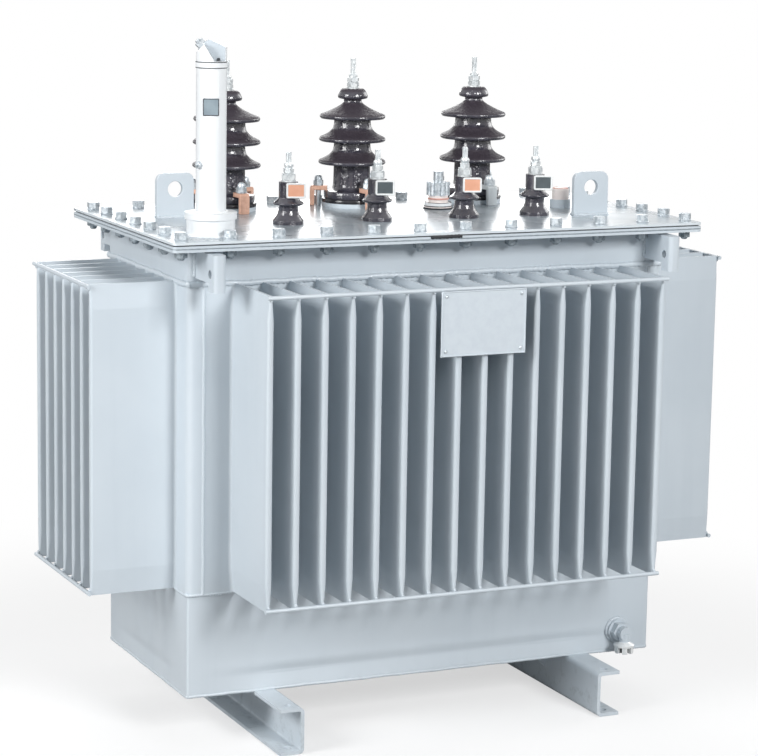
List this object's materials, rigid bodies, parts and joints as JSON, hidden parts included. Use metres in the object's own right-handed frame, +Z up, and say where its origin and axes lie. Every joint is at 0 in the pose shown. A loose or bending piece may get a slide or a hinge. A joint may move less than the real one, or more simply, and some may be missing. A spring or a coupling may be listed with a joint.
{
  "type": "power transformer",
  "caption": "Oil-immersed power transformer: corrugated cooling tank on channel feet, bolted cover with high and low voltage porcelain bushings, filler tube and lifting lugs.",
  "frame": {"origin": "floor level under the centre of the tank", "axes": "+X along the length of the tank, -Y towards the nameplate side, +Z up"},
  "size_m": [1.1984, 0.7287, 1.1775],
  "materials": {
    "tank_paint": "satin pale blue-grey enamel",
    "white_paint": "satin white enamel",
    "gasket_rubber": "matt black rubber",
    "terminal_metal": "tin-plated brass",
    "clamp_steel": "zinc-plated steel",
    "clamp_brass": "cast brass",
    "brown_glaze": "dark brown glaze",
    "orange_tag": "orange plastic",
    "grey_tag": "dark grey plastic",
    "white_plastic": "off-white plastic",
    "window_glass": "clear glass over a dark gauge",
    "plate_metal": "blank brushed aluminium"
  },
  "bodies": {
    "root": {"back_cooling_fins": "tank_paint", "back_tank_wall": "tank_paint", "base_gussets": "tank_paint", "cover_gasket": "gasket_rubber", "cover_lifting_lugs": "tank_paint", "drain_cap": "terminal_metal", "drain_valve": "tank_paint", "filler_base": "white_paint", "filler_cap": "white_paint", "filler_tube": "white_paint", "filler_window": "window_glass", "fin_tie_rods": "tank_paint", "front_cooling_fins": "tank_paint", "front_tank_wall": "tank_paint", "grey_phase_tags": "grey_tag", "hv_base_rings": "tank_paint", "hv_clamp_dogs": "clamp_brass", "hv_porcelain_1": "brown_glaze", "hv_porcelain_2": "brown_glaze", "hv_porcelain_3": "brown_glaze", "hv_terminals": "terminal_metal", "left_base_channel": "tank_paint", "left_cooling_fins": "tank_paint", "left_tank_wall": "tank_paint", "lower_tank_wall": "tank_paint", "lv_porcelain_1": "brown_glaze", "lv_porcelain_2": "brown_glaze", "lv_porcelain_3": "brown_glaze", "lv_porcelain_4": "brown_glaze", "lv_terminals": "terminal_metal", "nameplate": "plate_metal", "nameplate_strips": "tank_paint", "orange_phase_tags": "orange_tag", "relief_valve_body": "tank_paint", "relief_valve_cap": "white_plastic", "right_base_channel": "tank_paint", "right_cooling_fins": "tank_paint", "right_tank_wall": "tank_paint", "tank_collar": "tank_paint", "tank_cover": "tank_paint", "tank_flange": "tank_paint", "tank_floor": "tank_paint", "tank_lifting_lugs": "tank_paint", "tap_changer_base": "white_plastic", "tap_changer_knob": "clamp_steel"}
  },
  "joints": []
}
